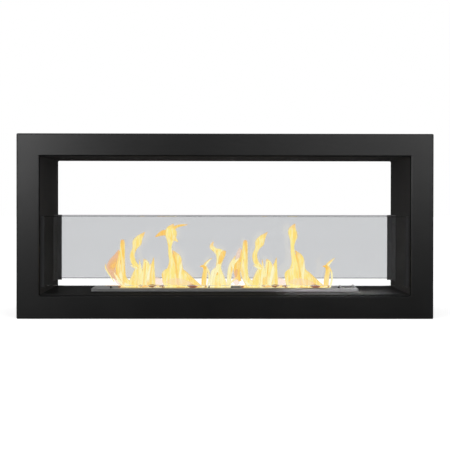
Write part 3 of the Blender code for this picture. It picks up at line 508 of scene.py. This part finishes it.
RIGHT_ONLY = (
    (-3, -0.4, ((-270.9, -1, 4.6), (-270, 23.6, 5.2), (-266.1, 44.1, 6.4), (-261.5, 57.8, 5.5),
        (-256.1, 72.6, 0.7))),
    (-4, -0.4, ((-260.5, 53.3, 2.3), (-253.7, 61.3, 2.3), (-245.7, 68.1, 0.7))),
    (2, 0.4, ((-245.2, 14, 3.4), (-252.1, 32.3, 7.3), (-251.4, 48.3, 7.8), (-248.5, 59.8, 4.6),
        (-243.9, 70.1, 0.7))),
    (-5, 0.95, ((-254.9, 23.7, 1.8), (-254.9, 32.9, 4.1), (-253.1, 42, 2.3))),
    (4, 1.3, ((-251.2, 5.6, 4.6), (-254.2, 16.1, 9.1), (-253.2, 26.4, 4.6))),
    (5, 1.3, ((-250.2, 57.3, 3.2), (-248.8, 75.6, 5.5), (-244.7, 90.5, 1.4))),
    (2, 0.5, ((-243.9, 57.5, 1.4), (-243, 75.8, 1.8), (-241.6, 87.7, 0.7))),
    (-5, -0.6, ((-252.4, 22.6, 2.3), (-261.5, 15.8, 2), (-269.5, 6.6, 0.9))),
    (0, 0.05, ((-215.3, -1, 11.4), (-230.6, 17.6, 8.2), (-235.9, 37, 8.9), (-235.4, 59.9, 8),
        (-234.1, 82.7, 6.6), (-233.4, 99.9, 5.7), (-233.4, 107.9, 3.9))),
    (-3, 0.42, ((-230.5, 30.4, 1.1), (-231.9, 48.7, 1.8), (-231, 71.5, 2.1), (-232.6, 89.8, 3.2),
        (-233.1, 106.6, 3.2))),
    (-4, -0.9, ((-216.1, 3.2, 3.2), (-230.9, 11.1, 2.7), (-237.9, 28.2, 3.6), (-239.1, 46.5, 2.7),
        (-236.8, 64.7, 0.9))),
    (0, 0, TRUNK + RIGHT_HEAD),
)

# What each point of a tongue tells the finish: how near it is to the tongue's rim, its share of the
# way from foot to tip, and the tongue's tint.
FLAME_LAYERS = ("rim", "share", "tint")
CREAM_STREAKS = (1.0, 0.95, 0.60)
GOLD_CLOUDS = (1.0, 0.63, 0.14)
ORANGE_RIM = (0.95, 0.50, 0.12)
ORANGE_TIP = (0.95, 0.48, 0.16)
FLAME_GLOW = 1.05
# Each tint: its place from cream (0) to ember brown (1), its colour and how much it covers.
TINTS = (
    (0.0, (1.0, 0.96, 0.66), 0.85),
    (0.33, (1.0, 0.83, 0.27), 0.95),
    (0.5, (0.98, 0.57, 0.11), 0.95),
    (0.66, (0.86, 0.47, 0.25), 0.55),
    (0.77, (1.0, 0.70, 0.52), 0.35),
    (1.0, (0.21, 0.05, 0.02), 0.9),
)


def smooth_line(points, steps):
    """A smooth line through the points, as a list of (along, rise, half width)."""
    ends = (points[0], *points, points[-1])
    line = []
    for before, start, stop, after in zip(ends, ends[1:], ends[2:], ends[3:]):
        for share in (step / steps for step in range(steps)):
            line.append([
                (2 * b + (c - a) * share + (2 * a - 5 * b + 4 * c - d) * share**2
                 + (3 * b - a - 3 * c + d) * share**3) / 2
                for a, b, c, d in zip(before, start, stop, after)
            ])
    return line + [list(points[-1])]


def add_tongue(shape, layers, points, behind, tint, steps=6, sides=16, depth_share=0.55):
    """One closed tongue, flatter from front to back than it is wide, with its foot cut off flat."""
    line = smooth_line(points, steps)
    rings = []
    for place, (along, rise, half_width) in enumerate(line):
        before, after = line[max(place - 1, 0)], line[min(place + 1, len(line) - 1)]
        run = Vector((after[0] - before[0], 0, after[1] - before[1])).normalized()
        if place == 0 and rise < 0:
            run = Vector((0, 0, 1))
        side = Vector((run.z, 0, -run.x))
        middle = Vector((along, behind, rise))
        ring = []
        for angle in (2 * pi * step / sides for step in range(sides)):
            out = side * cos(angle) + Vector((0, depth_share, 0)) * sin(angle)
            at = (middle + out * half_width) * MM
            at.z = max(at.z, -FLAME_SINK)
            point = shape.verts.new(at + Vector((0, 0, FLAME_FLOOR)))
            for layer, value in zip(layers, (abs(cos(angle)), place / (len(line) - 1), tint)):
                point[layer] = value
            ring.append(point)
        rings.append(ring)
    for low, high in zip(rings, rings[1:]):
        for first in range(sides):
            second = (first + 1) % sides
            shape.faces.new((low[first], high[first], high[second], low[second])).smooth = True
    shape.faces.new(rings[0])
    shape.faces.new(rings[-1][::-1])


def fire(name, tongues, shift, finish):
    """One piece of many tongues, moved along the slot, that is carried by the burner."""
    shape = bmesh.new()
    layers = [shape.verts.layers.float.new(layer) for layer in FLAME_LAYERS]
    for behind, tint, points in tongues:
        moved = [(along + shift / MM, rise, half_width) for along, rise, half_width in points]
        add_tongue(shape, layers, moved, behind, tint)
    mesh = bpy.data.meshes.new(name)
    shape.to_mesh(mesh)
    shape.free()
    mesh.materials.append(finish.material)
    piece = bpy.data.objects.new(name, mesh)
    bpy.context.scene.collection.objects.link(piece)
    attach(piece, "burner")
    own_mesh(piece)


def flame_finish():
    """Glowing vapour, clearer at rim and tip, with cream streaks in it and an orange rim."""
    finish = Finish("flame", (0, 0, 0), roughness=1.0, specular=0.0)
    read = {}
    for layer in FLAME_LAYERS:
        node = finish.add("ShaderNodeAttribute")
        node.attribute_name = layer
        read[layer] = node.outputs["Fac"]
    tint = finish.spread(read["tint"], low=0.0, high=1.0, start=-1, end=2)
    clouds = finish.noise(1, stretch=(120, 120, 30), detail=1)
    streaks = finish.noise(1, stretch=(300, 300, 40), detail=2)
    pale = finish.ramp(tint, ((0.2, 1.0), (0.6, 0.0)))
    gold = finish.math("MULTIPLY", finish.ramp(clouds, ((0.36, 0.75), (0.48, 0.0))), pale)
    cream = finish.math("MULTIPLY", finish.ramp(streaks, ((0.46, 0.0), (0.6, 0.9))), pale)
    rim = finish.ramp(read["rim"], ((0.86, 0.0), (1.0, 0.6)))
    tip = finish.ramp(read["share"], ((0.8, 0.0), (1.0, 0.8)))
    colour = finish.ramp(tint, [(place, shade) for place, shade, _ in TINTS])
    for factor, other in (
        (gold, GOLD_CLOUDS),
        (cream, CREAM_STREAKS),
        (rim, ORANGE_RIM),
        (tip, ORANGE_TIP),
    ):
        colour = finish.mix("RGBA", factor, colour, other)
    cover = finish.ramp(tint, [(place, cover) for place, _, cover in TINTS])
    for layer, stops in (("rim", ((0.75, 1.0), (1.0, 0.25))), ("share", ((0.85, 1.0), (1.0, 0.5)))):
        cover = finish.math("MULTIPLY", cover, finish.ramp(read[layer], stops))
    finish.set(finish.shader, Emission_Color=colour, Emission_Strength=FLAME_GLOW, Alpha=cover)
    return finish


flame = flame_finish()
fire("left_flames", EACH_SET + LEFT_ONLY, 0, flame)
fire("right_flames", EACH_SET + RIGHT_ONLY, SET_PITCH, flame)

# ---- Floor, backdrop and light ----
# A white floor under a room that is white behind the fireplace, grey at its sides and dark before
# it. Three soft boxes light it from the front, one from each side and one lamp from above, and a
# narrow lamp above the front picks out the right end of the burner.

AMBIENT = 0.50
DARK_ROOM = 0.03
SIDE_WALLS = 0.25
FLOOR_REACH = 14.0
# The light of the floor itself, at shares of the way from the fireplace to FILL_REACH metres.
FILL_REACH = 5.0
FLOOR_FILL = ((0.0, 0.65), (0.10, 0.68), (0.25, 0.735), (0.52, 0.80), (0.8, 0.825), (1.0, 0.85))
LIT_FLOOR = 0.8
SEEN_FLOOR = 0.5
# From where to where the room changes: by the Y of a direction, and on the floor in metres.
BACK_WALL = (0.6, 0.9)
FRONT_WALL = (-0.6, -0.2)
FLOOR_BACK = (0.3, 1.5)


def by_ray(wiring, plain, glossy, seen):
    """The value that lights, the one in reflections, and the one seen, also through glass."""
    rays = wiring.add("ShaderNodeLightPath").outputs
    sight = wiring.math("MAXIMUM", rays["Is Camera Ray"], rays["Is Transmission Ray"])
    direct = wiring.mix("FLOAT", sight, plain, seen)
    return wiring.mix("FLOAT", rays["Glossy Depth"], direct, glossy)


def to_back(wiring, output, reach, low, high):
    """A value that turns from low to high towards the back, by the Y of a direction or place."""
    return wiring.spread(wiring.part(wiring.place(output), "Y"), low, high, *reach)


world = bpy.data.worlds.new("white_room")
bpy.context.scene.world = world
world.use_nodes = True
room = Wiring(world.node_tree)
back_wall = to_back(room, "Generated", BACK_WALL, 0.0, 1.0 - SIDE_WALLS)
side_walls = to_back(room, "Generated", FRONT_WALL, DARK_ROOM, SIDE_WALLS)
walls = room.math("ADD", back_wall, side_walls)
background = world.node_tree.nodes["Background"]
room.set(background, Color=(1, 1, 1), Strength=by_ray(room, AMBIENT, walls, 1.0))

floor_finish = Finish("white_floor", (0.8, 0.8, 0.8), roughness=0.9, specular=0.0)
far = floor_finish.add("ShaderNodeVectorMath", Vector=floor_finish.place())
far.operation = "LENGTH"
fill = floor_finish.spread(far.outputs["Value"], 0.0, 1.0, end=FILL_REACH)
glow_behind = to_back(floor_finish, "Object", FLOOR_BACK, 0.0, 1.0)
white_behind = to_back(floor_finish, "Object", FLOOR_BACK, DARK_ROOM, SEEN_FLOOR)
floor_finish.set(
    floor_finish.shader,
    Base_Color=by_ray(floor_finish, LIT_FLOOR, white_behind, SEEN_FLOOR),
    Emission_Color=floor_finish.ramp(fill, FLOOR_FILL),
    Emission_Strength=by_ray(floor_finish, 0.0, glow_behind, 1.0),
)
floor_mesh = bpy.data.meshes.new("floor")
corners = [(x * FLOOR_REACH, y * FLOOR_REACH, 0) for x, y in ((-1, -1), (1, -1), (1, 1), (-1, 1))]
floor_mesh.from_pydata(corners, [], [(0, 1, 2, 3)])
floor = bpy.data.objects.new("floor", floor_mesh)
floor_mesh.materials.append(floor_finish.material)
bpy.context.scene.collection.objects.link(floor)


def soft_box(name, place, target, size, power, spread=pi, seen=True):
    """A flat rectangular lamp at a place, turned to its target, which may stay unseen itself."""
    lamp = bpy.data.lights.new(name, "AREA")
    lamp.shape = "RECTANGLE"
    lamp.size, lamp.size_y = size
    lamp.energy = power
    lamp.spread = spread
    box = bpy.data.objects.new(name, lamp)
    aim = (Vector(target) - Vector(place)).to_track_quat("-Z", "Y").to_matrix().to_4x4()
    box.matrix_world = Matrix.Translation(place) @ aim
    box.visible_camera = box.visible_transmission = seen
    bpy.context.scene.collection.objects.link(box)


FIRE = (0, 0, 0.25)
SIDE = (0, 0, 0.2)
BURNER_END = (0.24, -0.062, 0.05)

soft_box("left_box", (-1.3, -2.6, 0.80), FIRE, size=(0.6, 0.9), power=15.0)
soft_box("right_box", (1.3, -2.6, 0.85), FIRE, size=(0.6, 0.9), power=7.6)
soft_box("middle_box", (0.55, -2.6, 0.80), FIRE, size=(0.8, 0.6), power=2.6)
soft_box("top_lamp", (0, -0.6, 2.6), (0, 0, 0), size=(2.2, 1.6), power=26.0)
soft_box("left_side_box", (-2.8, 0, 0.6), SIDE, size=(1.4, 1.0), power=12.0)
soft_box("right_side_box", (2.8, 0, 0.6), SIDE, size=(1.4, 1.0), power=12.0)
soft_box("burner_lamp", (0.24, -0.412, 1.17), BURNER_END, (0.2, 0.02), 0.23, 0.09, seen=False)

# ---- Camera ----
# A long lens two metres before the fireplace, a little above its middle, turned and tilted by a
# hair. The shift moves the picture so that the fireplace stands where the framing has it.

CAMERA_PLACE = (-0.01384, -2.01697, 0.2504)
CAMERA_PITCH = -0.00533
CAMERA_YAW = 0.00692
CAMERA_ROLL = 0.00125
CAMERA_SHIFT = -0.03857
SENSOR = 36.0
FOCAL_SHARE = 882.68 / 450

lens = bpy.data.cameras.new("camera")
lens.sensor_width = SENSOR
lens.lens = SENSOR * FOCAL_SHARE
lens.shift_y = CAMERA_SHIFT
camera = bpy.data.objects.new("camera", lens)
camera.matrix_world = (
    Matrix.Translation(CAMERA_PLACE)
    @ Matrix.Rotation(-CAMERA_YAW, 4, "Z")
    @ Matrix.Rotation(pi / 2 + CAMERA_PITCH, 4, "X")
    @ Matrix.Rotation(CAMERA_ROLL, 4, "Z")
)
bpy.context.scene.collection.objects.link(camera)
bpy.context.scene.camera = camera
bpy.context.scene.view_settings.view_transform = "Standard"
